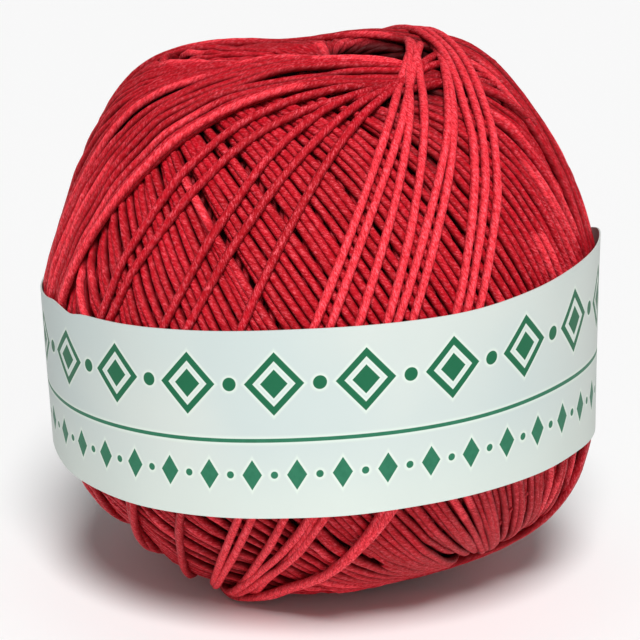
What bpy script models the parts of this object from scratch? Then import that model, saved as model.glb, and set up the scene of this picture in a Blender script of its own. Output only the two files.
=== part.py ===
"""A machine-wound ball of twine with a paper band round its middle.

Metres, +Z up. The origin is on the surface that the ball rests on, under the band's centre.
Azimuth 0 is the front, -Y, and azimuth 90 is the right, +X.
"""

import bmesh
import bpy
import numpy as np

MM = 0.001

# The wound form. Its middle is a sphere, and the shoulders where the turns cross stand out from it.
# A rise below 0 is a dip.
WAIST_RADIUS = 33.0 * MM
FLAT_TO_CENTRE = 33.0 * MM
SHOULDERS = (
    # azimuth deg, elevation deg, spread deg, rise mm
    (100, 60, 18, 3.1),
    (146, 54, 20, 2.3),
    (205, 46, 20, 0.9),
    (254, 52, 17, 3.2),
    (305, 50, 22, 1.8),
    (350, 50, 22, 1.8),
    (40, 50, 22, 2.2),
    (77, -34.5, 20, 3.3),
    (125, -36, 22, 2.0),
    (180, -40, 22, 2.0),
    (235, -36, 22, 2.0),
    (287, -30, 22, 1.5),
    (25, -42, 22, 0.8),
    (312, -63, 13, 2.2),
    (100, 34, 16, 1.2),
    (93, 15, 10, 0.4),
    (38, -70, 13, -0.45),
    (200, 74, 10, -0.8),
    (30, 66, 9, -0.8),
    (0, -90, 10, 0.35),
)
# Bundles of turns that lie side by side. Each follows a plane through the ball's centre, and the
# row gives the way that the plane's axis points.
BUNDLES = (
    # azimuth deg, elevation deg, half width mm, rise mm
    (296, 22, 3.0, 0.8),
    (266, 21, 2.6, 0.5),
    (239, 22, 2.6, 0.5),
    (194, 23, 6.0, 0.7),
    (110, 35, 5.0, 0.5),
    (45, 30, 4.0, 0.4),
    (347, 14.5, 3.5, 0.3),
)

# The winding hollows, one at each end of the axis that the ball was wound on.
HOLLOW_AZIMUTH = 50
HOLLOW_ELEVATION = 74.5
HOLLOW_DEPTH = 8 * MM
HOLLOW_FOOT_ANGLE = 8.0
HOLLOW_RIM_ANGLE = 8.9
RIM_ROUNDING = 0.4 * MM

# The mesh of the wound form: rings about the winding axis, close together at a hollow's rim.
RIM_RINGS = (4.2, HOLLOW_FOOT_ANGLE, HOLLOW_RIM_ANGLE, 10.6, 13, 16, 19.5)
RING_STEP = 4.0
POINTS_PER_RING = 80

# The paper band, slipped on a little askew. Between rows its edges follow a smooth curve.
BAND_INNER_RADIUS = 32.3 * MM
BAND_THICKNESS = 1.0 * MM
BAND_EDGES = (
    # azimuth deg, top and foot mm above the ball's centre, drawn in at the foot mm
    (0, 7.4, -14.1, 0.3),
    (30, 8.2, -13.1, 0.2),
    (60, 10.0, -12.5, 0.0),
    (90, 10.6, -13.0, 0.0),
    (120, 6.6, -13.4, 0.2),
    (150, 7.0, -13.6, 0.3),
    (180, 7.4, -13.8, 0.4),
    (210, 6.7, -14.0, 0.5),
    (240, 5.6, -14.0, 0.8),
    (270, 4.5, -13.9, 1.0),
    (300, 5.1, -15.1, 0.8),
    (330, 6.1, -15.1, 0.5),
)
BAND_SEGMENTS = 96
BAND_CLEARANCE = 0.5 * MM
SQUEEZE_BEYOND_BAND = 0.8 * MM
SQUEEZE_SLOPE = 0.5


def clear_scene():
    for old in list(bpy.data.objects):
        bpy.data.objects.remove(old, do_unlink=True)


def plain_material(name, colour, roughness):
    material = bpy.data.materials.new(name)
    material.use_nodes = True
    shader = material.node_tree.nodes["Principled BSDF"]
    shader.inputs["Base Color"].default_value = (*colour, 1)
    shader.inputs["Roughness"].default_value = roughness
    shader.inputs["Metallic"].default_value = 0
    return material


def pointing(azimuth, elevation):
    """The unit vector at this azimuth and elevation, in degrees."""
    a, e = np.radians(azimuth), np.radians(elevation)
    return np.array((np.cos(e) * np.sin(a), -np.cos(e) * np.cos(a), np.sin(e)))


def band_edges(azimuth):
    """Top height, foot height and drawing in of the band at an azimuth in degrees, in metres."""
    rows = np.array(BAND_EDGES)[:, 1:] * MM
    step = 360 / len(rows)
    index, along = divmod(azimuth % 360, step)
    before, here, there, after = (rows[(int(index) + k) % len(rows)] for k in (-1, 0, 1, 2))
    t = along / step
    slope_here, slope_there = (there - before) / 2, (after - here) / 2
    rise = there - here
    return (
        here
        + slope_here * t
        + (3 * rise - 2 * slope_here - slope_there) * t**2
        + (slope_here + slope_there - 2 * rise) * t**3
    )


def wound_radius(way):
    """Distance from the ball's centre to the outside of the turns, along the unit vector way."""
    radius = WAIST_RADIUS
    for azimuth, elevation, spread, rise in SHOULDERS:
        angle_squared = 2 * (1 - way @ pointing(azimuth, elevation))
        radius += rise * MM * np.exp(-angle_squared / np.radians(spread) ** 2)
    for azimuth, elevation, half_width, rise in BUNDLES:
        off_plane = radius * (way @ pointing(azimuth, elevation)) / (half_width * MM)
        radius += rise * MM * np.exp(-(off_plane**2))
    return radius


def under_band(point):
    """The point moved in towards the ball's axis where the band squeezes the turns."""
    top, foot, drawn_in = band_edges(np.degrees(np.arctan2(point[0], -point[1])))
    inner = BAND_INNER_RADIUS - drawn_in * np.clip((top - point[2]) / (top - foot), 0, 1)
    beyond = max(point[2] - top, foot - point[2]) - SQUEEZE_BEYOND_BAND
    limit = inner - BAND_CLEARANCE + SQUEEZE_SLOPE * max(beyond, 0)
    across = np.hypot(point[0], point[1])
    if across > limit:
        point[:2] *= limit / across
    return point


def surface_point(way, pole_angle):
    """A point of the wound form's surface. pole_angle is in degrees from the nearer hollow."""
    radius = wound_radius(way)
    if pole_angle <= HOLLOW_FOOT_ANGLE:
        radius -= HOLLOW_DEPTH
    elif pole_angle <= HOLLOW_RIM_ANGLE:
        radius -= RIM_ROUNDING
    point = under_band(way * radius)
    if point[2] < -FLAT_TO_CENTRE:
        point *= -FLAT_TO_CENTRE / point[2]
    return point


def ring_angles():
    """Angles from the upper hollow's centre to each ring, in degrees."""
    angles = list(RIM_RINGS)
    while angles[-1] + RING_STEP < 90:
        angles.append(angles[-1] + RING_STEP)
    return angles + [180 - angle for angle in reversed(angles)]


def make_wound_twine(centre):
    axis = pointing(HOLLOW_AZIMUTH, HOLLOW_ELEVATION)
    side = np.cross(axis, (0, 1, 0))
    side /= np.linalg.norm(side)
    front = np.cross(axis, side)
    mesh = bmesh.new()
    rings = []
    for angle in ring_angles():
        ring = []
        for turn in np.arange(POINTS_PER_RING) * 2 * np.pi / POINTS_PER_RING:
            out = np.cos(turn) * side + np.sin(turn) * front
            way = np.cos(np.radians(angle)) * axis + np.sin(np.radians(angle)) * out
            ring.append(mesh.verts.new(surface_point(way, min(angle, 180 - angle))))
        rings.append(ring)
    for upper, lower in zip(rings, rings[1:]):
        for i in range(POINTS_PER_RING):
            j = (i + 1) % POINTS_PER_RING
            mesh.faces.new((upper[i], upper[j], lower[j], lower[i]))
    for ring, way in ((rings[0], axis), (rings[-1], -axis)):
        middle = mesh.verts.new(surface_point(way, 0))
        for i in range(POINTS_PER_RING):
            mesh.faces.new((ring[i], ring[(i + 1) % POINTS_PER_RING], middle))
    bmesh.ops.recalc_face_normals(mesh, faces=mesh.faces)
    bmesh.ops.triangulate(mesh, faces=mesh.faces)
    twine = place("wound_twine", mesh, centre)
    twine.data.materials.append(plain_material("red_twine", (0.62, 0.02, 0.03), 0.55))


def make_paper_band(centre):
    """A strip of paper bent into a ring: four rows of corners, joined into a closed tube."""
    mesh = bmesh.new()
    sections = []
    for azimuth in np.arange(BAND_SEGMENTS) * 360 / BAND_SEGMENTS:
        top, foot, drawn_in = band_edges(azimuth)
        out = pointing(azimuth, 0)
        inner = BAND_INNER_RADIUS
        outer = BAND_INNER_RADIUS + BAND_THICKNESS
        section = (
            out * inner + (0, 0, top),
            out * outer + (0, 0, top),
            out * (outer - drawn_in) + (0, 0, foot),
            out * (inner - drawn_in) + (0, 0, foot),
        )
        sections.append([mesh.verts.new(corner) for corner in section])
    for here, there in zip(sections, sections[1:] + sections[:1]):
        for i in range(4):
            j = (i + 1) % 4
            mesh.faces.new((here[i], here[j], there[j], there[i]))
    bmesh.ops.recalc_face_normals(mesh, faces=mesh.faces)
    bmesh.ops.triangulate(mesh, faces=mesh.faces)
    band = place("paper_band", mesh, centre)
    band.data.materials.append(plain_material("pale_paper", (0.72, 0.80, 0.76), 0.8))


def place(name, mesh, centre):
    """A smooth-shaded object of this mesh, set at the ball's centre."""
    data = bpy.data.meshes.new(name)
    mesh.to_mesh(data)
    mesh.free()
    data.shade_smooth()
    data.set_sharp_from_angle(angle=np.radians(40))
    made = bpy.data.objects.new(name, data)
    made.location = centre
    bpy.context.scene.collection.objects.link(made)
    return made


clear_scene()
ball_centre = (0, 0, FLAT_TO_CENTRE)
make_wound_twine(ball_centre)
make_paper_band(ball_centre)
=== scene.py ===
"""The looks of a machine-wound ball of red twine with a paper band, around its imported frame.

Metres, +Z up. Azimuth 0 is the front, -Y, and azimuth 90 is the right, +X.
"""

import bpy
import mathutils
import numpy as np
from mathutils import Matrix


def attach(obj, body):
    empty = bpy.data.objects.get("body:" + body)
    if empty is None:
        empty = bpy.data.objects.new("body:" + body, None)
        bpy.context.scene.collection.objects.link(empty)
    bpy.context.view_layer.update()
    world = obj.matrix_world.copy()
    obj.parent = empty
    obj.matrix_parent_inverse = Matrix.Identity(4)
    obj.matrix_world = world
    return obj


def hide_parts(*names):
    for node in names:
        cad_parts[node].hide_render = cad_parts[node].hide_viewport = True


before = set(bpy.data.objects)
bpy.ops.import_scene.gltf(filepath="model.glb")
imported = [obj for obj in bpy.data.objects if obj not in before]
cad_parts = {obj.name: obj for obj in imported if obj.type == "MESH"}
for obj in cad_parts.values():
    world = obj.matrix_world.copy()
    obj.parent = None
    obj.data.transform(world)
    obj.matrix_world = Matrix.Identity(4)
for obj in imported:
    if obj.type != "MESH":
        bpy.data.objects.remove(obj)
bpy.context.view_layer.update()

# ---- The ball's form -----------------------------------------------------------------------------
# The ball is wound by machine on a turning spindle. Its turns build up into a rounded form, with
# broad shoulders where they cross, and drawing out the spindle leaves a hollow at each end.

MM = 0.001
CENTRE_HEIGHT = 33.0 * MM
WAIST_RADIUS = 33.0 * MM
SHOULDERS = (
    # azimuth deg, elevation deg, spread deg, rise mm, which below 0 is a dip
    (100, 60, 18, 3.1),
    (146, 54, 20, 2.3),
    (205, 46, 20, 0.9),
    (254, 52, 17, 3.2),
    (305, 50, 22, 1.8),
    (350, 50, 22, 1.8),
    (40, 50, 22, 2.2),
    (77, -34.5, 20, 3.3),
    (125, -36, 22, 2.0),
    (180, -40, 22, 2.0),
    (235, -36, 22, 2.0),
    (287, -30, 22, 1.5),
    (25, -42, 22, 0.8),
    (312, -63, 13, 2.2),
    (100, 34, 16, 1.2),
    (93, 15, 10, 0.4),
    (38, -70, 13, -0.45),
    (200, 74, 10, -0.8),
    (30, 66, 9, -0.8),
    (0, -90, 10, 0.35),
)
SPINDLE_AZIMUTH = 50
SPINDLE_ELEVATION = 74.5
HOLLOW_RADIUS = 5.2 * MM
HOLLOW_DEPTH = 8.0 * MM


def pointing(azimuth, elevation):
    """The unit vector at this azimuth and elevation, in degrees."""
    a = np.radians(azimuth)
    e = np.radians(elevation)
    return np.stack((np.cos(e) * np.sin(a), -np.cos(e) * np.cos(a), np.sin(e)), -1)


def unit(vectors):
    """The vectors, each made 1 long."""
    return vectors / np.linalg.norm(vectors, axis=-1, keepdims=True)


def form_radius(ways):
    """Distance from the ball's centre to the crests of the turns, along each unit vector."""
    radius = np.full(ways.shape[:-1], WAIST_RADIUS)
    for azimuth, elevation, spread, rise in SHOULDERS:
        angle_squared = 2 * (1 - ways @ pointing(azimuth, elevation))
        radius += rise * MM * np.exp(-angle_squared / np.radians(spread) ** 2)
    return radius


spindle_axis = pointing(SPINDLE_AZIMUTH, SPINDLE_ELEVATION)
spindle_side = unit(np.cross(spindle_axis, (1, 0, 0)))
spindle_front = np.cross(spindle_axis, spindle_side)


def from_spindle(ways, radius=WAIST_RADIUS):
    """Distance to the spindle's nearer end, over a sphere of this radius."""
    return radius * np.arccos(np.abs(ways @ spindle_axis).clip(0, 1))


# ---- The turns of twine --------------------------------------------------------------------------
# Three-ply hemp twine about 1 mm thick, dyed red, polished and lightly waxed. It is wound under
# tension, so each turn pulls straight over the turns below it. The first turns lie all round the
# ball, then comes a broad even layer, and the last turns lie singly on top.

TWINE_HALF_WIDTH = 0.50 * MM
TWINE_HALF_HEIGHT = 0.46 * MM
STEPS_PER_TURN = 420

# The first turns cross at three leans. A turn's lean is the angle between its axis, which is square
# to its plane, and the spindle.
FIRST_LEANS_DEG = (62, 71, 79)
FIRST_SPACING = 1.9 * MM
FIRST_WANDER_DEG = 0.7


def first_axes(chance):
    """The axis of each of the first turns."""
    axes = []
    for lean in FIRST_LEANS_DEG:
        count = round(2 * np.pi * WAIST_RADIUS * np.sin(np.radians(lean)) / FIRST_SPACING)
        turned = np.arange(count)[:, None] * 2 * np.pi / count
        out = np.cos(turned) * spindle_side + np.sin(turned) * spindle_front
        wander = np.radians(lean + chance.normal(0, FIRST_WANDER_DEG, (count, 1)))
        axes.extend(np.cos(wander) * spindle_axis + np.sin(wander) * out)
    return axes


# The even layer's axis moves on a little after each turn. Towards its end the turns lie further
# apart and straighter: they are the open sheaf at the upper left.
EVEN_LAYER = (
    # azimuth deg, elevation deg of the axis
    (5, 12),
    (20, 24),
    (45, 30),
    (70, 32),
    (84, 32),
    (95, 35),
    (106, 31),
    (120, 28.5),
    (136, 24.5),
    (150, 20),
    (160, 19),
    (172, 17),
    (184, 16),
    (194, 18),
    (202, 26.5),
)
CLOSEST_TURNS = 1.04 * MM
SPARE_BETWEEN = 0.10 * MM
MOST_SPARE = 0.45 * MM
EVEN_WANDER_DEG = 0.6
SHEAF_FROM_ROW = 9
CLOSEST_IN_SHEAF = 1.42 * MM
SHARE_OF_SPARE_IN_SHEAF = 0.4
SHEAF_WANDER_DEG = 0.35
PATH_STEPS = 400
PATH_SMOOTHING_STEPS = 41


def read_between(places, row_places, rows):
    """What the rows give at places between their own."""
    return np.stack([np.interp(places, row_places, column) for column in rows.T], 1)


def soft_weights(steps):
    """The weights of a soft average over this many steps."""
    weights = np.hanning(steps)
    return weights / weights.sum()


def even_axes(chance):
    """The axis of each turn of the even layer."""
    keys = pointing(*np.array(EVEN_LAYER, float).T)
    lengths = np.linalg.norm(np.diff(keys, axis=0), axis=1) * WAIST_RADIUS
    along = np.concatenate(((0,), np.cumsum(lengths)))
    fine = np.linspace(0, along[-1], PATH_STEPS)
    spare_steps = PATH_SMOOTHING_STEPS // 2
    path = np.pad(read_between(fine, along, keys), ((spare_steps, spare_steps), (0, 0)), "edge")
    weights = soft_weights(PATH_SMOOTHING_STEPS)
    path = unit(np.stack([np.convolve(column, weights, "valid") for column in path.T], 1))
    sheaf_start = along[SHEAF_FROM_ROW]
    places = [0.0]
    while places[-1] < along[-1]:
        spare = min(chance.exponential(SPARE_BETWEEN), MOST_SPARE)
        if places[-1] > sheaf_start:
            spacing = CLOSEST_IN_SHEAF + SHARE_OF_SPARE_IN_SHEAF * spare
        else:
            spacing = CLOSEST_TURNS + spare
        places.append(places[-1] + spacing)
    axes = unit(read_between(places, fine, path))
    aside = np.cross(axes, unit(np.gradient(axes, axis=0)))
    wander = np.where(np.array(places) > sheaf_start, SHEAF_WANDER_DEG, EVEN_WANDER_DEG)
    return unit(axes + aside * np.radians(chance.normal(0, wander))[:, None])


# The last turns fan out from the upper hollow: five to the left, six down the front, seven close
# together round the right side, and a bundle of four down the front right.
MOST_PROUD = 0.6 * MM
LAST_TURNS = (
    # azimuth deg, elevation deg of the axis, drawn towards the upper hollow mm, most proud of the
    # form mm, and how clear it stands of what lies beside it mm, where 0 is as wound; this last sets
    # its painted light and painted shade
    (217, 20.5, -3.4, 0.35, 0.7),
    (219, 25, -2.4, 0.35, 0.7),
    (234, 22, -1.3, 0.35, 0.7),
    (238, 25, 0, 0.35, 0.7),
    (250, 21, -1.3, 0.35, 0.7),
    (264, 21, 1.6, 0.35, 0.95),
    (267, 21, 1.0, 0.35, 0.95),
    (273, 19, 1.2, 0.35, 0.95),
    (279, 18, 0.6, 0.35, 0.95),
    (280, 22, 0, 0.35, 0.95),
    (283, 21.5, 0, 0.35, 0.95),
    (347, 5, 0, 0.1, 0),
    (348, 7, 0, 0.1, 0),
    (349, 8.5, 0, 0.1, 0),
    (350.5, 9.5, 0, 0.1, 0),
    (352, 10.2, 0, 0.1, 0),
    (354, 10.7, 0, 0.1, 0),
    (356, 11.1, 0, 0.1, 0),
    (293, 19, 0, 0.35, 0.95),
    (295, 20.5, 0, 0.35, 0.95),
    (297, 22.5, 0, 0.35, 0.95),
    (299, 24, 0, 0.35, 0.95),
)


def turn_axes(chance):
    """The axis of each turn, how it is laid, which is the last three columns of LAST_TURNS, and
    how many turns come before the even layer."""
    first = first_axes(chance)
    even = even_axes(chance)
    last = np.array(LAST_TURNS, float)
    axes = np.concatenate((first, even, pointing(last[:, 0], last[:, 1])))
    laid = np.tile((0, MOST_PROUD, 0), (len(axes), 1))
    laid[-len(last) :] = last[:, 2:] * (MM, MM, 1)
    return axes, laid, len(first)


# The twine runs on from turn to turn, and it changes over to the next axis behind the ball.
CHANGE_OVER_TURNS = 0.5
SPARE_TURNS = 3
DRAWN_WITHIN_DEG = 28
WAVER = 0.05 * MM
WAVERS_PER_TURN = (1.3, 2.7, 4.1, 7.3)


def foot_and_rise(side):
    """The way to each turn's lowest point on the spindle, and the way that it rises from there."""
    foot = unit((side @ spindle_axis)[:, None] * side - spindle_axis)
    return foot, np.cross(side, foot)


def lay_turns(axes, laid, chance):
    """The way from the ball's centre to each point of the twine, its side way and how it is laid."""
    count = len(axes)
    angle = np.arange((count + SPARE_TURNS) * STEPS_PER_TURN) * 2 * np.pi / STEPS_PER_TURN

    def at_turn(turn, rows):
        return read_between(np.clip(turn - 0.5, 0, count - 1), np.arange(count), rows)

    # A turn is counted from the rear of the ball, where its plane passes furthest back.
    foot, rise = foot_and_rise(unit(at_turn(angle / (2 * np.pi), axes)))
    rear = np.unwrap(np.arctan2(rise[:, 1], foot[:, 1]))
    turn = (angle - rear) / (2 * np.pi)
    turn -= np.floor(turn[0])
    end = int(np.argmax(turn > count)) // STEPS_PER_TURN * STEPS_PER_TURN
    angle, turn = angle[:end], turn[:end]
    nearest = np.round(turn)
    eased = np.clip((turn - nearest + CHANGE_OVER_TURNS / 2) / CHANGE_OVER_TURNS, 0, 1)
    turn = nearest - 0.5 + eased**2 * (3 - 2 * eased)
    side = unit(at_turn(turn, axes))
    foot, rise = foot_and_rise(side)
    laid = at_turn(turn, laid)
    from_top = (angle % (2 * np.pi)) - np.pi
    off = laid[:, 0] * np.exp(-(from_top**2) / np.radians(DRAWN_WITHIN_DEG) ** 2)
    for rate in WAVERS_PER_TURN:
        off = off + WAVER * np.sin(rate * angle + chance.uniform(0, 2 * np.pi))
    ways = np.cos(angle)[:, None] * foot + np.sin(angle)[:, None] * rise
    return unit(ways + (off / WAIST_RADIUS)[:, None] * side), side, laid


# While the ball is wound, its surface is a square map of heights: the sphere is opened out as an
# octahedron is, its lower four sides folded out round the upper four. The map is evened out in
# blocks of cells.
MAP_CELLS = 640
BLOCK_CELLS = 16
EVENED_WITHIN_DEG = 5


def map_cell(ways):
    """The number of the map's cell that each way points through."""
    x, y, z = np.moveaxis(ways / np.abs(ways).sum(-1, keepdims=True), -1, 0)
    row = np.where(z < 0, (1 - np.abs(y)) * np.where(x < 0, -1, 1), x)
    column = np.where(z < 0, (1 - np.abs(x)) * np.where(y < 0, -1, 1), y)
    cells = ((np.stack((row, column)) + 1) / 2 * MAP_CELLS).astype(int).clip(0, MAP_CELLS - 1)
    return cells[0] * MAP_CELLS + cells[1]


def map_ways():
    """The way through the middle of each of the map's cells."""
    middle = (np.arange(MAP_CELLS) + 0.5) / MAP_CELLS * 2 - 1
    row, column = np.meshgrid(middle, middle, indexing="ij")
    z = 1 - np.abs(row) - np.abs(column)
    x = np.where(z < 0, (1 - np.abs(column)) * np.sign(row), row)
    y = np.where(z < 0, (1 - np.abs(row)) * np.sign(column), column)
    return unit(np.stack((x, y, z), -1)).astype(np.float32)


def evening_shares(ways):
    """How much each block of the map counts towards the evening out of each other block."""
    blocks = MAP_CELLS // BLOCK_CELLS
    middles = ways.reshape(blocks, BLOCK_CELLS, blocks, BLOCK_CELLS, 3).mean((1, 3))
    middles = unit(middles.reshape(-1, 3))
    shares = np.exp((middles @ middles.T - 1) / np.radians(EVENED_WITHIN_DEG) ** 2)
    return shares / shares.sum(1, keepdims=True)


def evened(values, percent, shares):
    """A smooth map that follows this percentile of the values, as one row."""
    blocks = MAP_CELLS // BLOCK_CELLS
    values = values.reshape(blocks, BLOCK_CELLS, blocks, BLOCK_CELLS)
    coarse = np.percentile(values, percent, axis=(1, 3)).ravel()
    coarse = (shares @ coarse).reshape(blocks, blocks)
    # A place stays short of the last block, so that there is always a block after it.
    place = ((np.arange(MAP_CELLS) + 0.5) / BLOCK_CELLS - 0.5).clip(0, blocks - 1.001)
    before, part = place.astype(int), place % 1
    rows = coarse[before] * (1 - part)[:, None] + coarse[before + 1] * part[:, None]
    return (rows[:, before] * (1 - part) + rows[:, before + 1] * part).ravel()


def cells_across(ways, sides, half_widths):
    """The map's cells at these half widths of the twine to the side of each of its points."""
    reach = (half_widths * TWINE_HALF_WIDTH / WAIST_RADIUS)[:, None]
    return map_cell(unit(ways[:, None] + reach * sides[:, None]))


def crown(half_widths):
    """How far the top of the twine stands above its middle, at these half widths to its side."""
    return TWINE_HALF_HEIGHT * np.sqrt(1 - half_widths**2)


def pulled_taut(radius):
    """The radii round a turn once it is tight: its convex hull, in the turn's own plane."""
    count = len(radius)
    order = (int(np.argmax(radius)) + np.arange(count + 1)) % count
    step = 2 * np.pi / count
    x = (radius[order] * np.cos(order * step)).tolist()
    y = (radius[order] * np.sin(order * step)).tolist()
    # From the highest step round to it again, a step is let go where the twine would pass above it.
    held = []
    for k in range(count + 1):
        while len(held) > 1:
            a, b = held[-2:]
            if (x[b] - x[a]) * (y[k] - y[a]) > (y[b] - y[a]) * (x[k] - x[a]):
                break
            held.pop()
        held.append(k)
    held = np.array(held)
    k = np.arange(count)
    at = np.searchsorted(held, k, side="right")
    before, after = held[at - 1], held[at]
    r_before, r_after = radius[order[before]], radius[order[after]]
    reach = r_before * np.sin((k - before) * step) + r_after * np.sin((after - k) * step)
    taut = np.empty(count)
    taut[order[:-1]] = r_before * r_after * np.sin((after - before) * step) / reach
    return taut


# How far off a turn's plane its cells are looked for, as the sine of the angle.
NEAR_PLANE = 0.12


def covered(ground, way, side, radius):
    """The map's cells that one turn lies on, and the turn's top above each of them."""
    middle = side[STEPS_PER_TURN // 2]
    foot = unit(way[0] - (way[0] @ middle) * middle)
    near = np.nonzero(np.abs(ground @ middle.astype(np.float32)) < NEAR_PLANE)[0]
    ground = ground[near]
    angle = np.arctan2(ground @ np.cross(middle, foot), ground @ foot)
    k = np.round(angle / (2 * np.pi) * STEPS_PER_TURN).astype(int) % STEPS_PER_TURN
    off = ((ground - way[k]) * side[k]).sum(1) * radius[k] / TWINE_HALF_WIDTH
    on = np.abs(off) < 1
    return near[on], radius[k[on]] + crown(off[on])


# Each turn sinks a little into those below, bends softly over them, and is held to the form. Every
# few turns the whole surface is brought back up to the form.
PRESSED_IN = 0.12 * MM
UNDER_TWINE = np.linspace(-0.6, 0.6, 5)
BEND_REACH_STEPS = 5
BEND_STEPS = 2.1
HOLLOW_LIP = 0.5 * MM
TURNS_TO_EVENING = 3
EVENED_PERCENT = 50
LAST_EVENED_PERCENT = 20


def wind(ways, sides, most_proud):
    """The radius at each point of the twine, wound turn by turn, and the map at the end."""
    ground = map_ways()
    form = form_radius(ground)
    from_axis = from_spindle(ground)
    in_hollow = (from_axis < HOLLOW_RADIUS + HOLLOW_LIP).ravel()
    height = np.where(from_axis < HOLLOW_RADIUS, form - HOLLOW_DEPTH, form).ravel()
    form = form.ravel()
    ground = ground.reshape(-1, 3)
    shares = evening_shares(ground)
    cells = map_cell(ways)
    ends = BEND_REACH_STEPS
    bend = np.exp(-((np.arange(-ends, ends + 1) / BEND_STEPS) ** 2))
    bend /= bend.sum()
    radii = np.zeros(len(ways))
    turns = len(ways) // STEPS_PER_TURN
    for turn in range(turns):
        part = slice(turn * STEPS_PER_TURN, (turn + 1) * STEPS_PER_TURN)
        way, side = ways[part], sides[part]
        rests_on = height[cells_across(way, side, UNDER_TWINE)] + crown(UNDER_TWINE)
        radius = pulled_taut(rests_on.max(1) - PRESSED_IN)
        radius = np.convolve(np.concatenate((radius[-ends:], radius, radius[:ends])), bend, "valid")
        proud = np.maximum(radius - form[cells[part]] - TWINE_HALF_HEIGHT, 0)
        radius += most_proud[part] * np.tanh(proud / most_proud[part]) - proud
        radii[part] = radius
        under, top = covered(ground, way, side, radius)
        height[under] = np.maximum(height[under], top)
        is_last = turn == turns - 1
        if turn % TURNS_TO_EVENING == 0 or is_last:
            percent = LAST_EVENED_PERCENT if is_last else EVENED_PERCENT
            lift = evened(np.where(in_hollow, 0, form - height), percent, shares)
            height += lift
            radii[: part.stop] += lift[cells[: part.stop]]
    return radii, height


AXES_SEED = 7
WAVER_SEED = 3
axes, laid, first_turns = turn_axes(np.random.default_rng(AXES_SEED))
twine_ways, twine_sides, twine_laid = lay_turns(axes, laid, np.random.default_rng(WAVER_SEED))
twine_radii, heights = wind(twine_ways, twine_sides, twine_laid[:, 1])

# Where the paper band squeezes the turns, and where they rest on the table, they are pressed in.
BAND_RADIUS = 33.0 * MM
BAND_EDGES = (
    # azimuth deg, top and foot mm above the ball's centre, drawn in at the foot mm
    (0, 7.4, -14.1, 0.3),
    (30, 8.2, -13.1, 0.2),
    (60, 10.0, -12.5, 0.0),
    (90, 10.6, -13.0, 0.0),
    (120, 6.6, -13.4, 0.2),
    (150, 7.0, -13.6, 0.3),
    (180, 7.4, -13.8, 0.4),
    (210, 6.7, -14.0, 0.5),
    (240, 5.6, -14.0, 0.8),
    (270, 4.5, -13.9, 1.0),
    (300, 5.1, -15.1, 0.8),
    (330, 6.1, -15.1, 0.5),
)
SQUEEZE_SLOPE = 0.7
CLEAR_OF_BAND = 0.05 * MM


def band_edges(azimuth):
    """The band's top height, foot height and drawing in at the foot, at each azimuth in degrees."""
    rows = np.array(BAND_EDGES)[:, 1:] * MM
    place = np.asarray(azimuth) % 360 / (360 / len(rows))
    here = place.astype(int)
    t = (place - here)[..., None]
    before, start, end, after = (rows[(here + k) % len(rows)] for k in (-1, 0, 1, 2))
    leaving, arriving = (end - before) / 2, (after - start) / 2
    rise = end - start
    curve = start + leaving * t + (3 * rise - 2 * leaving - arriving) * t**2
    return np.moveaxis(curve + (leaving + arriving - 2 * rise) * t**3, -1, 0)


def edges_at(points):
    """What band_edges gives at each point's azimuth."""
    return band_edges(np.degrees(np.arctan2(points[:, 0], -points[:, 1])))


def pressed_in(points, clearance):
    """The points, moved in to this clearance under the band and above the table."""
    top, foot, drawn_in = edges_at(points)
    height = points[:, 2]
    radius = BAND_RADIUS - drawn_in * np.clip((top - height) / (top - foot), 0, 1)
    beyond = np.maximum(np.maximum(height - top, foot - height), 0)
    limit = radius - clearance + SQUEEZE_SLOPE * beyond
    across = np.hypot(points[:, 0], points[:, 1])
    points[:, :2] *= np.minimum(limit / across, 1)[:, None]
    points[:, 2] = np.maximum(height, clearance - CENTRE_HEIGHT)
    return points


def under_band(points):
    """How far inside the band's edges each point is. It is negative beyond them."""
    top, foot, _ = edges_at(points)
    return np.minimum(top - points[:, 2], points[:, 2] - foot)


clearance = TWINE_HALF_HEIGHT + CLEAR_OF_BAND
twine_points = pressed_in(twine_ways * twine_radii[:, None], clearance)
step_lengths = np.linalg.norm(np.diff(twine_points, axis=0), axis=1)
along_twine = np.concatenate(((0,), np.cumsum(step_lengths)))

# Only the stretches of twine that show are made: the rest lies under later turns or the band.
ACROSS_TWINE = np.linspace(-0.9, 0.9, 5)
SHOWS_WITHIN = 0.1 * MM
CARRIED_ON_STEPS = 7
TUCKED_UNDER_BAND = 3 * MM


def showing():
    """Whether each point of the twine shows."""
    own_top = twine_radii[:, None] + crown(ACROSS_TWINE)
    above = heights[cells_across(twine_ways, twine_sides, ACROSS_TWINE)] - own_top
    shows = (above < SHOWS_WITHIN).any(1)
    shows = np.convolve(shows, np.ones(CARRIED_ON_STEPS), "same") > 0
    return shows & (under_band(twine_points) < TUCKED_UNDER_BAND)


def every_second(kept):
    """Every second point of each unbroken stretch, and its end, with the stretch's number.

    A stretch of one point has no length, and is left out.
    """
    run = np.concatenate(((0,), np.cumsum(np.diff(kept) > 1)))
    starts = np.concatenate(((True,), np.diff(run) > 0))
    ends = np.concatenate((np.diff(run) > 0, (True,)))
    order = np.arange(len(kept))
    run_start = np.maximum.accumulate(np.where(starts, order, 0))
    chosen = ((order - run_start) % 2 == 0) | ends
    chosen &= np.bincount(run)[run] > 1
    return kept[chosen], run[chosen]


kept, run = every_second(np.nonzero(showing())[0])
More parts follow.
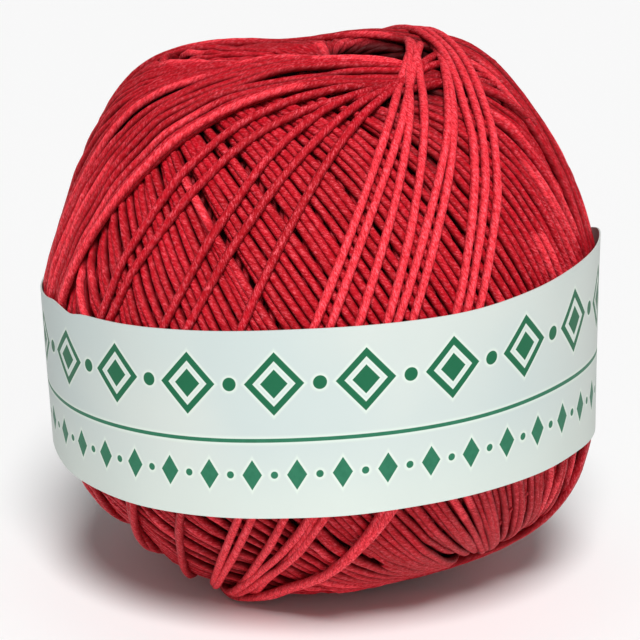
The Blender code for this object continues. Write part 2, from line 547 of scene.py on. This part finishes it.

# How far each point of the twine stands above what lies beside it, in mm. Twine that stands clear
# is painted lighter, as painted light, and less painted shade falls on its sides.
BESIDE_TWINE = np.array((-1.7, 1.7))
STANDS_SMOOTHING_STEPS = 23
beside = heights[cells_across(twine_ways, twine_sides, BESIDE_TWINE)].mean(1)
twine_stands = (twine_radii + TWINE_HALF_HEIGHT - beside) / MM
twine_stands = np.convolve(twine_stands, soft_weights(STANDS_SMOOTHING_STEPS), "same")
# The last turns take how clear they stand from LAST_TURNS, which sets their painted light and shade.
twine_stands = np.where(twine_laid[:, 2] > 0, twine_laid[:, 2], twine_stands)

# Twine down in a hollow, or deep between other turns, lies in shade.
HOLLOW_SHADE = 0.95
HOLLOW_SHADE_DEPTH_MM = (0.5, 1.5)
HOLLOW_SHADE_REACH_MM = (8, 11)
DEEP_SHADE = 0.9
DEEP_SHADE_DEPTH_MM = (1.5, 3.0)


def shade(way, radius):
    """How far in shade each point lies, from 0 to 1."""
    depth = (form_radius(way) - radius) / MM
    reach = from_spindle(way) / MM
    in_hollow = np.interp(depth, HOLLOW_SHADE_DEPTH_MM, (0, 1))
    in_hollow = in_hollow * np.interp(reach, HOLLOW_SHADE_REACH_MM, (HOLLOW_SHADE, 0))
    return np.maximum(in_hollow, np.interp(depth, DEEP_SHADE_DEPTH_MM, (0, DEEP_SHADE)))


RING_SIDES = 10
THICK_AND_THIN = (
    # share of the thickness, length mm, start
    (0.04, 3.1, 0),
    (0.03, 1.3, 1),
)


def twine_rings(points, way, along, joined):
    """The oval ring of points round each point of the twine."""
    onward = np.where(joined[:, None], np.roll(points, -1, 0) - points, 0)
    ahead = unit(onward + np.roll(onward, 1, 0))
    side = unit(np.cross(ahead, way))
    up = np.cross(side, ahead)
    turned = np.arange(RING_SIDES) * 2 * np.pi / RING_SIDES
    oval = -np.cos(turned)[:, None] * up[:, None] * TWINE_HALF_HEIGHT
    oval = oval + np.sin(turned)[:, None] * side[:, None] * TWINE_HALF_WIDTH
    thickness = 1
    for share, length, start in THICK_AND_THIN:
        thickness = thickness + share * np.sin(along / (length * MM) + start)
    return points[:, None] + oval * thickness[:, None, None]


def tube_faces(joined, ends, starts):
    """The faces through the joined rings and over each stretch's ends, and for each of their
    corners its ring and its part of the way round."""
    i = np.nonzero(joined)[0][:, None] * RING_SIDES
    j = np.arange(RING_SIDES)
    k = (j + 1) % RING_SIDES
    walls = np.stack((i + j, i + k, i + RING_SIDES + k, i + RING_SIDES + j), -1).reshape(-1, 4)
    around = np.tile(np.stack((j, j + 1, j + 1, j), -1).ravel() / RING_SIDES, len(i))
    caps = []
    for number, ring in enumerate(ends):
        middle = len(joined) * RING_SIDES + number
        for corner in range(0, RING_SIDES, 2):
            rim = [ring * RING_SIDES + (corner + n) % RING_SIDES for n in range(3)]
            caps.append([middle, *(rim[::-1] if starts[ring] else rim)])
    corners = np.concatenate((walls, caps))
    rings = np.concatenate((walls.ravel() // RING_SIDES, ends.repeat(RING_SIDES * 2)))
    return corners, rings, np.concatenate((around, np.zeros(len(caps) * 4)))


def add_piece(name, points, corners, material, maps=()):
    """A smooth mesh piece of four-cornered faces about the ball's centre. It rides on the ball."""
    mesh = bpy.data.meshes.new(name)
    mesh.vertices.add(len(points))
    mesh.vertices.foreach_set("co", np.asarray(points, np.float32).ravel())
    mesh.loops.add(corners.size)
    mesh.loops.foreach_set("vertex_index", corners.ravel().astype(np.int32))
    mesh.polygons.add(len(corners))
    mesh.polygons.foreach_set("loop_start", np.arange(0, corners.size, 4, dtype=np.int32))
    for map_name, values in maps:
        layer = mesh.uv_layers.new(name=map_name)
        layer.uv.foreach_set("vector", np.asarray(values, np.float32).ravel())
    mesh.update(calc_edges=True)
    mesh.validate()
    mesh.shade_smooth()
    mesh.materials.append(material)
    piece = bpy.data.objects.new(name, mesh)
    piece.location = (0, 0, CENTRE_HEIGHT)
    bpy.context.scene.collection.objects.link(piece)
    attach(piece, "root")
    return piece


def add_turns(name, chosen, material):
    """The twine through the chosen points, as tubes of oval section that are closed at both ends."""
    at = kept[chosen]
    points, way, along = twine_points[at], twine_ways[at], along_twine[at]
    joined = np.concatenate((np.diff(run[chosen]) == 0, (False,)))
    starts = np.concatenate(((True,), ~joined[:-1]))
    ends = np.concatenate((np.nonzero(starts)[0], np.nonzero(~joined)[0]))
    rings = twine_rings(points, way, along, joined)
    corners, ring_of_corner, around = tube_faces(joined, ends, starts)
    unrolled = np.stack((around, along[ring_of_corner] / MM), 1)
    lying = np.stack((shade(way, twine_radii[at]), twine_stands[at]), 1)[ring_of_corner]
    points = np.concatenate((rings.reshape(-1, 3), points[ends]))
    piece = add_piece(name, points, corners, material, (("twine", unrolled), ("lying", lying)))
    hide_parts("wound_twine")


def new_material(name):
    """A material, its node tree and its surface shader."""
    material = bpy.data.materials.new(name)
    material.use_nodes = True
    tree = material.node_tree
    return material, tree, tree.nodes["Principled BSDF"]


def put_in(tree, node, name, value):
    """Sets a node's input, or links it where the value is another node's output."""
    socket = node.inputs[int(name) if name.isdigit() else name]
    if isinstance(value, bpy.types.NodeSocket):
        tree.links.new(value, socket)
    else:
        socket.default_value = value


def add_node(tree, kind, settings=(), **inputs):
    """A node of this kind. Each input, its spaces written as _, is a value or another's output."""
    node = tree.nodes.new(kind)
    for name, value in settings:
        setattr(node, name, value)
    for name, value in inputs.items():
        put_in(tree, node, name.replace("_", " "), value)
    return node


def worked_out(tree, operation, *values):
    """The values put through one of Blender's sums."""
    node = tree.nodes.new("ShaderNodeMath")
    node.operation = operation
    for index, value in enumerate(values):
        put_in(tree, node, str(index), value)
    return node.outputs[0]


def product(tree, a, b):
    return worked_out(tree, "MULTIPLY", a, b)


def difference(tree, a, b):
    return worked_out(tree, "SUBTRACT", a, b)


def away_from(tree, value, middle):
    """How far the value is from the middle, either way."""
    return worked_out(tree, "ABSOLUTE", difference(tree, value, middle))


def mixed(tree, factor, a, b):
    """Colour a where the factor is 0, and colour b where it is 1."""
    node = tree.nodes.new("ShaderNodeMix")
    node.data_type = "RGBA"
    for socket, value in ((0, factor), (6, a), (7, b)):
        put_in(tree, node, str(socket), value)
    return node.outputs[2]


def ranged(tree, value, over, to=(0.0, 1.0)):
    """A smooth change between the two numbers of to, as the value goes over its range."""
    return add_node(
        tree,
        "ShaderNodeMapRange",
        [("interpolation_type", "SMOOTHSTEP")],
        Value=value,
        From_Min=over[0],
        From_Max=over[1],
        To_Min=to[0],
        To_Max=to[1],
    ).outputs["Result"]


def layered(tree, colour, layers):
    """The colour under others. Each layer is what it follows, the range that it changes over, how
    much of it shows at each end of the range, and its colour."""
    for follows, over, shows, over_colour in layers:
        colour = mixed(tree, ranged(tree, follows, over, shows), colour, over_colour)
    return colour


def mapped(tree, name):
    """The two numbers that a piece's map of this name holds at each point."""
    place = add_node(tree, "ShaderNodeUVMap", [("uv_map", name)]).outputs["UV"]
    parts = add_node(tree, "ShaderNodeSeparateXYZ", Vector=place)
    return parts.outputs["X"], parts.outputs["Y"]


def noise(tree, scale, detail, roughness=0.5, **place):
    """Noise from 0 to 1, at this place."""
    place = add_node(tree, "ShaderNodeCombineXYZ", **place).outputs[0]
    kind = "ShaderNodeTexNoise"
    made = add_node(tree, kind, Vector=place, Scale=scale, Detail=detail, Roughness=roughness)
    return made.outputs["Fac"]


# The finish follows the twine unrolled, and how it lies in the ball. Its dye varies at random, with
# dark fibres. Painted light lightens twine that stands clear, and painted shade darkens it between
# plies, down its sides between turns, and in hollows and deep between turns. Pale fibres show where
# the wax is worn, with painted highlights where the twine stands clear.
DEEP_DYE = (0.39, 0.002, 0.008, 1)
CLEAR_DYE = (0.565, 0.005, 0.017, 1)
PAINTED_LIGHT_ON_CLEAR_TWINE = (0.94, 0.04, 0.06, 1)
PAINTED_SHADE_BETWEEN_PLIES = (0.28, 0.0, 0.004, 1)
DARK_FIBRES = (0.32, 0.0, 0.004, 1)
PALE_FIBRES_AND_PAINTED_HIGHLIGHTS = (1.0, 0.16, 0.20, 1)
PAINTED_SHADE_BETWEEN_TURNS = (0.14, 0.0, 0.002, 1)
IN_SHADE = (0.03, 0.0, 0.0005, 1)
WAX_SHEEN = (1.0, 0.55, 0.55, 1)
PLIES = 3
PLY_SPACING_MM = 1.5
ROUND_MM = 3.3
CREST_AROUND = 0.5
FIBRES_ALONG_PLY = 3.6
FIBRES_ALONG_TWINE = 2.3
FIBRES_AROUND = 5.0
FIBRES_OVER_PLIES = 1.6
DYE_CHANGES_PER_MM = 0.05
WEAR_SPOTS_PER_MM = 1.1
RELIEF = 0.05 * MM

twine_material, tree, shader = new_material("waxed_red_twine")
around, along = mapped(tree, "twine")
in_shade, stands = mapped(tree, "lying")
lay = worked_out(tree, "MULTIPLY_ADD", around, -PLIES * PLY_SPACING_MM, along)
ply = worked_out(tree, "SINE", product(tree, lay, np.pi / PLY_SPACING_MM))
ply = worked_out(tree, "ABSOLUTE", ply)
fibres = noise(
    tree,
    scale=1,
    detail=4,
    roughness=0.72,
    X=product(tree, lay, FIBRES_ALONG_PLY),
    Y=product(tree, along, FIBRES_ALONG_TWINE),
    Z=product(tree, around, FIBRES_AROUND),
)
dye = noise(tree, scale=1, detail=2, X=product(tree, along, DYE_CHANGES_PER_MM))
wear = noise(tree, WEAR_SPOTS_PER_MM, 2, X=product(tree, around, ROUND_MM), Y=along)

red_layers = (
    # what it follows, the range, how much shows at each end of it, colour
    (dye, (0.3, 0.7), (0.0, 1.0), CLEAR_DYE),
    # painted light on twine that stands clear
    (stands, (0.7, 0.95), (0.0, 0.9), PAINTED_LIGHT_ON_CLEAR_TWINE),
    # painted shade in the grooves between plies
    (ply, (0.0, 0.5), (0.35, 0.0), PAINTED_SHADE_BETWEEN_PLIES),
    (fibres, (0.54, 0.36), (0.0, 0.7), DARK_FIBRES),
)
red = layered(tree, DEEP_DYE, red_layers)
worn = ranged(tree, wear, over=(0.3, 0.6), to=(0.25, 0.8))
# Pale worn fibres, which also serve as painted highlights, growing where the twine stands clear.
pale = product(tree, ranged(tree, fibres, over=(0.48, 0.66)), worn)
pale = product(tree, pale, ranged(tree, stands, over=(0.4, 0.95), to=(0.6, 1.0)))
red = mixed(tree, pale, red, PALE_FIBRES_AND_PAINTED_HIGHLIGHTS)
# Painted shade down the twine's sides, where turns lie close beside it.
down_side = ranged(tree, away_from(tree, around, CREST_AROUND), over=(0.04, 0.24))
painted_side_shade = product(tree, down_side, ranged(tree, stands, over=(0.3, 0.95), to=(0.95, 0.4)))
red = mixed(tree, painted_side_shade, red, PAINTED_SHADE_BETWEEN_TURNS)
red = mixed(tree, in_shade, red, IN_SHADE)
put_in(tree, shader, "Base Color", red)
put_in(tree, shader, "Roughness", ranged(tree, fibres, over=(0.3, 0.7), to=(0.62, 0.42)))
shader.inputs["Specular IOR Level"].default_value = 0.12
shader.inputs["Sheen Weight"].default_value = 0.015
shader.inputs["Sheen Roughness"].default_value = 0.4
shader.inputs["Sheen Tint"].default_value = WAX_SHEEN
relief = worked_out(tree, "MULTIPLY_ADD", fibres, FIBRES_OVER_PLIES, ply)
bump = add_node(tree, "ShaderNodeBump", Height=relief, Strength=1.0, Distance=RELIEF)
put_in(tree, shader, "Normal", bump.outputs["Normal"])

MOST_RINGS = 8000
first_end = first_turns * STEPS_PER_TURN
last_start = (len(axes) - len(LAST_TURNS)) * STEPS_PER_TURN
for name, low, high in (
    ("first_turns", 0, first_end),
    ("even_turns", first_end, last_start),
    ("last_turns", last_start, len(twine_points)),
):
    chosen = np.nonzero((kept >= low) & (kept < high))[0]
    pieces = -(-len(chosen) // MOST_RINGS)
    for number, runs in enumerate(np.array_split(np.unique(run[chosen]), pieces)):
        here = chosen[(run[chosen] >= runs[0]) & (run[chosen] <= runs[-1])]
        add_turns(f"{name}_{number + 1}", here, twine_material)

# ---- The imported inside ---------------------------------------------------------------------------
# Under the turns that show, the ball is the same twine imported solid. Nothing but the tension of the
# winding holds it. This core is coloured near black as painted shade, which shows between the turns,
# and it lines both hollows.

CORE_RINGS = 90
CORE_POINTS = 144
UNDER_TURNS = 0.4 * MM
CORE_CLEAR_OF_BAND = 1.2 * MM
LOW_PERCENT = 3
LEVEL_ROUND_HOLLOW = 1 * MM
LINING_BEYOND_HOLLOW = 1.2 * MM
LINING_SLOPE = 1.5 * MM
PAINTED_SHADE_DARKEST = (0.012, 0.0004, 0.001, 1)
PAINTED_SHADE_LESS_DARK = (0.06, 0.002, 0.004, 1)


def mottling_group():
    """Mottling by where a point is in its own piece, for materials to place at their own scale."""
    group = bpy.data.node_groups.new("mottling", "ShaderNodeTree")
    for name, way in (("Scale", "INPUT"), ("Detail", "INPUT"), ("Mottling", "OUTPUT")):
        group.interface.new_socket(name, in_out=way, socket_type="NodeSocketFloat")
    given = add_node(group, "NodeGroupInput").outputs
    place = add_node(group, "ShaderNodeTexCoord").outputs["Object"]
    scale, detail = given["Scale"], given["Detail"]
    spots = add_node(group, "ShaderNodeTexNoise", Vector=place, Scale=scale, Detail=detail)
    add_node(group, "NodeGroupOutput", Mottling=spots.outputs["Fac"])
    return group


mottling = mottling_group()


def mottled(tree, scale, detail):
    """The mottling group, placed in a material at this scale."""
    node = add_node(tree, "ShaderNodeGroup", [("node_tree", mottling)], Scale=scale, Detail=detail)
    return node.outputs["Mottling"]


core_material, tree, shader = new_material("inner_turns_in_shade")
streaks = mottled(tree, 900, 3)
# The core's colour is painted shade: near black, with faint streaks.
put_in(tree, shader, "Base Color", mixed(tree, streaks, PAINTED_SHADE_DARKEST, PAINTED_SHADE_LESS_DARK))
shader.inputs["Roughness"].default_value = 0.9
shader.inputs["Specular IOR Level"].default_value = 0.1
rough = add_node(tree, "ShaderNodeBump", Height=streaks, Strength=0.8, Distance=0.5 * MM)
put_in(tree, shader, "Normal", rough.outputs["Normal"])


def core_ways():
    """The ways from the ball's centre to the core's rings about the spindle, and to its ends."""
    turned = np.arange(CORE_POINTS) * 2 * np.pi / CORE_POINTS
    tilt = np.arange(1, CORE_RINGS) * np.pi / CORE_RINGS
    out = np.cos(turned)[:, None] * spindle_side + np.sin(turned)[:, None] * spindle_front
    rings = np.cos(tilt)[:, None, None] * spindle_axis + np.sin(tilt)[:, None, None] * out
    return np.concatenate((rings.reshape(-1, 3), (spindle_axis, -spindle_axis)))


def core_radii(ways):
    """The core's radius along each way: under the turns, and down in the hollows."""
    ground = map_ways()
    below_form = heights - form_radius(ground).ravel()
    below_form[from_spindle(ground).ravel() < HOLLOW_RADIUS + LEVEL_ROUND_HOLLOW] = 0
    lowest = evened(below_form, LOW_PERCENT, evening_shares(ground))[map_cell(ways)]
    radius = form_radius(ways) + np.minimum(lowest, 0) - UNDER_TURNS
    beyond = HOLLOW_RADIUS + LINING_BEYOND_HOLLOW - from_spindle(ways, radius)
    return radius - np.clip(beyond / LINING_SLOPE, 0, 1) * HOLLOW_DEPTH


def core_faces(count):
    """The core's faces. The last two of its points are its ends on the spindle's axis."""
    ring = np.arange(CORE_POINTS)
    onward = np.roll(ring, -1)
    row = np.arange(CORE_RINGS - 2)[:, None] * CORE_POINTS
    walls = (row + ring, row + onward, row + CORE_POINTS + onward, row + CORE_POINTS + ring)
    walls = np.stack(walls, -1).reshape(-1, 4)
    pairs = ring.reshape(-1, 2)
    after = np.roll(ring, -2).reshape(-1, 2)[:, :1]
    top_cap = np.concatenate((pairs[:, ::-1], np.full_like(after, count - 2), after), 1)
    foot_cap = np.concatenate((pairs, after, np.full_like(after, count - 1)), 1)
    foot_cap[:, :3] += (CORE_RINGS - 2) * CORE_POINTS
    return np.concatenate((walls[:, ::-1], top_cap[:, ::-1], foot_cap[:, ::-1]))


ways = core_ways()
core_points = pressed_in(ways * core_radii(ways)[:, None], CORE_CLEAR_OF_BAND)
core = add_piece("packed_core", core_points, core_faces(len(core_points)), core_material)
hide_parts("wound_twine")

# ---- The paper band ------------------------------------------------------------------------------
# A strip of smooth paper, washed in pale mint and blue, wrapped round the ball a little askew. Its
# ends lap by about 12 mm at the back, where they are glued. It is printed in green with a plain
# rule between a row of nested lozenges and dots and a row of small lozenges and dots.

PAPER_THICKNESS = 0.16 * MM
LAP_DEGREES = 21
LAP_RAMP_DEGREES = 6
LAP_CLEARANCE = 0.03 * MM
BAND_COLUMNS = 264
BAND_ROWS = 14
KINKS = (
    # azimuth deg, spread deg, rise of the top edge mm
    (-68, 4, 0.3),
    (-59, 3.2, -0.38),
)
KINK_FALLS_AS = 4
DRAWN_IN_FALLS_AS = 1.5
LOOSE_EDGE_SHARE = 0.25
LOOSE_EDGE_MM = 0.05
LOOSE_EDGE_WAVES = (
    # rise mm, waves round the ball, start
    (0.05, 9, 1),
    (0.04, 16, 0),
)

paper_azimuth = np.linspace(-180 - LAP_DEGREES / 2, 180 + LAP_DEGREES / 2, BAND_COLUMNS + 1)
top, foot, drawn_in = band_edges(paper_azimuth)
kink = 0
for middle, spread, rise in KINKS:
    kink = kink + rise * np.exp(-(((paper_azimuth - middle) / spread) ** 2))
kink = kink * MM
azimuth, up = np.meshgrid(paper_azimuth, np.linspace(0, 1, BAND_ROWS + 1), indexing="ij")
turned = np.radians(azimuth)
height = foot[:, None] + (top - foot)[:, None] * up + kink[:, None] * up**KINK_FALLS_AS
radius = BAND_RADIUS - drawn_in[:, None] * (1 - up) ** DRAWN_IN_FALLS_AS
from_edge = 0.5 - np.abs(up - 0.5)
near_edge = np.clip(1 - from_edge / LOOSE_EDGE_SHARE, 0, 1)
stands_off = LOOSE_EDGE_MM
for rise, waves, start in LOOSE_EDGE_WAVES:
    stands_off = stands_off + rise * np.sin(waves * turned + start)
radius += near_edge * stands_off * MM
lap_start = 180 - LAP_DEGREES / 2 - LAP_RAMP_DEGREES
on_lap = np.clip((azimuth - lap_start) / LAP_RAMP_DEGREES, 0, 1)
radius += on_lap * (PAPER_THICKNESS + LAP_CLEARANCE)


def paper_side(radius):
    """The points of one side of the paper."""
    points = np.stack((np.sin(turned) * radius, -np.cos(turned) * radius, height), -1)
    return points.reshape(-1, 3)


paper_points = np.concatenate((paper_side(radius), paper_side(radius + PAPER_THICKNESS)))
index = np.arange(azimuth.size).reshape(azimuth.shape)
face = np.stack((index[:-1, :-1], index[1:, :-1], index[1:, 1:], index[:-1, 1:]), -1).reshape(-1, 4)
rim = np.concatenate((index[:, 0], index[-1, 1:], index[-2::-1, -1], index[0, -2:0:-1]))
next_on_rim = np.roll(rim, -1)
outside = azimuth.size
edge = np.stack((rim, rim + outside, next_on_rim + outside, next_on_rim), -1)[:, ::-1]
corners = np.concatenate((face[:, ::-1], face + outside, edge))
arc = (turned * BAND_RADIUS / MM).ravel()
paper_map = np.stack((np.tile(arc, 2), np.tile(up.ravel(), 2)), -1)[corners.ravel()]

# The print is worked out from how far past each mark's edge a point lies, in mm.
BAND_HEIGHT_MM = 21.0
UPPER_ROW_UP = 0.72
RULE_UP = 0.42
LOWER_ROW_UP = 0.235
LOZENGES_APART_MM = 10.0
LOZENGE_MM = (3.3, 3.5)
OUTLINE_AT = 0.86
OUTLINE_HALF_WIDTH = 0.14
OUTLINE_MM = 2.4
INNER_LOZENGE_MM = (1.5, 1.6)
INNER_LOZENGE_ACROSS_MM = 1.1
DOT_MM = 0.75
RULE_HALF_WIDTH_MM = 0.21
SMALL_LOZENGES_APART_MM = 5.0
SMALL_LOZENGE_MM = (1.1, 1.7)
SMALL_DOT_MM = 0.4
BLUE_WASH = (0.50, 0.57, 0.555, 1)
MINT_WASH = (0.565, 0.61, 0.575, 1)
PAINTED_LIGHT_AT_FOOT = (0.57, 0.625, 0.575, 1)
PALE_ROUND_PRINT = (0.65, 0.73, 0.65, 1)
DEEP_INK = (0.006, 0.115, 0.055, 1)
THIN_INK = (0.024, 0.175, 0.095, 1)
UPPER_ROW_INK = (0.0, 0.108, 0.042, 1)


def repeated(tree, value, every):
    """Distance in mm from the middle of the nearest repeat."""
    part = worked_out(tree, "FRACT", worked_out(tree, "DIVIDE", value, every))
    return product(tree, away_from(tree, part, 0.5), every)


def off_row(tree, up, row_up):
    """Distance in mm above or below a row."""
    return product(tree, away_from(tree, up, row_up), BAND_HEIGHT_MM)


def lozenge(tree, across, upward, half_size):
    """0 at the lozenge's middle, 1 on its edge."""
    across = worked_out(tree, "DIVIDE", across, half_size[0])
    upward = worked_out(tree, "DIVIDE", upward, half_size[1])
    return worked_out(tree, "ADD", across, upward)


def disc(tree, across, upward, radius):
    """0 at the dot's middle, 1 on its edge."""
    across = worked_out(tree, "POWER", across, 2)
    upward = worked_out(tree, "POWER", upward, 2)
    distance = worked_out(tree, "SQRT", worked_out(tree, "ADD", across, upward))
    return worked_out(tree, "DIVIDE", distance, radius)


def past_edge(tree, mark, size):
    """How far past its edge a point lies, for a mark that is 1 there and of this size in mm."""
    return product(tree, difference(tree, mark, 1), size)


def past_outline(tree, mark):
    """How far past the line round a nested lozenge a point lies, in mm."""
    line = product(tree, away_from(tree, mark, OUTLINE_AT), OUTLINE_MM)
    return difference(tree, line, OUTLINE_HALF_WIDTH * OUTLINE_MM)


def past_print(tree, arc, up):
    """How far past the nearest edge of the print a point lies, in mm. It is negative on it."""
    upward = off_row(tree, up, UPPER_ROW_UP)
    across = repeated(tree, arc, LOZENGES_APART_MM)
    between = difference(tree, LOZENGES_APART_MM / 2, across)
    inner = lozenge(tree, across, upward, INNER_LOZENGE_MM)
    marks = [
        past_outline(tree, lozenge(tree, across, upward, LOZENGE_MM)),
        past_edge(tree, inner, INNER_LOZENGE_ACROSS_MM),
        past_edge(tree, disc(tree, between, upward, DOT_MM), DOT_MM),
        difference(tree, off_row(tree, up, RULE_UP), RULE_HALF_WIDTH_MM),
    ]
    upward = off_row(tree, up, LOWER_ROW_UP)
    across = repeated(tree, arc, SMALL_LOZENGES_APART_MM)
    between = difference(tree, SMALL_LOZENGES_APART_MM / 2, across)
    marks.append(difference(tree, lozenge(tree, across, upward, SMALL_LOZENGE_MM), 1))
    marks.append(past_edge(tree, disc(tree, between, upward, SMALL_DOT_MM), SMALL_DOT_MM))
    nearest = marks[0]
    for mark in marks[1:]:
        nearest = worked_out(tree, "MINIMUM", nearest, mark)
    return nearest


paper_material, tree, shader = new_material("printed_paper")
arc, up = mapped(tree, "paper")
off_print = past_print(tree, arc, up)
wash = mottled(tree, 38, 2)
fine = mottled(tree, 1500, 3)
ink = mixed(tree, fine, DEEP_INK, THIN_INK)
ink = layered(tree, ink, [(up, (0.5, 0.56), (0.0, 0.85), UPPER_ROW_INK)])
paper_layers = (
    # what it follows, the range, how much shows at each end of it, colour
    (wash, (0.35, 0.7), (0.0, 1.0), MINT_WASH),
    # painted light: the paper is lighter towards its foot
    (up, (0.0, 0.5), (0.7, 0.0), PAINTED_LIGHT_AT_FOOT),
    (off_print, (0.05, 0.45), (0.7, 0.0), PALE_ROUND_PRINT),
    (off_print, (-0.02, 0.04), (1.0, 0.0), ink),
)
put_in(tree, shader, "Base Color", layered(tree, BLUE_WASH, paper_layers))
shader.inputs["Roughness"].default_value = 0.5
shader.inputs["Specular IOR Level"].default_value = 0.3
bump = add_node(tree, "ShaderNodeBump", Height=fine, Strength=0.15, Distance=0.03 * MM)
put_in(tree, shader, "Normal", bump.outputs["Normal"])

band = add_piece("paper_band_strip", paper_points, corners, paper_material, [("paper", paper_map)])
band.data.set_sharp_from_angle(angle=np.radians(40))
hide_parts("paper_band")

# ---- Floor, lights and camera --------------------------------------------------------------------
# The ball stands on a pale matt floor. A broad soft light from high in front lights it, with a weak
# fill from low in front, and the camera has the photograph's place.

FLOOR_HALF_WIDTH = 2
floor_corners = [
    (-FLOOR_HALF_WIDTH, -FLOOR_HALF_WIDTH, 0),
    (FLOOR_HALF_WIDTH, -FLOOR_HALF_WIDTH, 0),
    (FLOOR_HALF_WIDTH, FLOOR_HALF_WIDTH, 0),
    (-FLOOR_HALF_WIDTH, FLOOR_HALF_WIDTH, 0),
]
floor_mesh = bpy.data.meshes.new("floor")
floor_mesh.from_pydata(floor_corners, [], [(0, 1, 2, 3)])
floor = bpy.data.objects.new("floor", floor_mesh)
bpy.context.scene.collection.objects.link(floor)
floor_material, tree, shader = new_material("pale_floor")
shader.inputs["Base Color"].default_value = (0.93, 0.93, 0.93, 1)
shader.inputs["Roughness"].default_value = 0.9
floor_mesh.materials.append(floor_material)


def turn_to(item, way):
    """Turns a light or the camera, so that its back is to this way."""
    item.rotation_euler = mathutils.Vector(way).to_track_quat("Z", "Y").to_euler()


for name, strength, spread, azimuth, elevation in (
    # name, strength, spread deg, azimuth deg, elevation deg
    ("high_soft_light", 3.4, 20, 4, 49),
    ("low_front_fill", 0.65, 60, 10, 6),
):
    light = bpy.data.lights.new(name, "SUN")
    light.energy = strength
    light.angle = np.radians(spread)
    lamp = bpy.data.objects.new(name, light)
    turn_to(lamp, pointing(azimuth, elevation))
    bpy.context.scene.collection.objects.link(lamp)

world = bpy.data.worlds.new("studio")
world.use_nodes = True
world.node_tree.nodes["Background"].inputs["Color"].default_value = (1, 1, 1, 1)
world.node_tree.nodes["Background"].inputs["Strength"].default_value = 0.19
bpy.context.scene.world = world
bpy.context.scene.view_settings.view_transform = "Standard"

CAMERA_ELEVATION = 15
CAMERA_DISTANCE = 0.32
PICTURE_PIXELS = 640
RAISED_PIXELS = 5
camera = bpy.data.objects.new("camera", bpy.data.cameras.new("camera"))
way = pointing(0, CAMERA_ELEVATION)
camera.location = way * CAMERA_DISTANCE + (0, 0, CENTRE_HEIGHT)
turn_to(camera, way)
camera.data.lens = 150
camera.data.sensor_width = 36
camera.data.shift_y = -RAISED_PIXELS / PICTURE_PIXELS
bpy.context.scene.collection.objects.link(camera)
bpy.context.scene.camera = camera
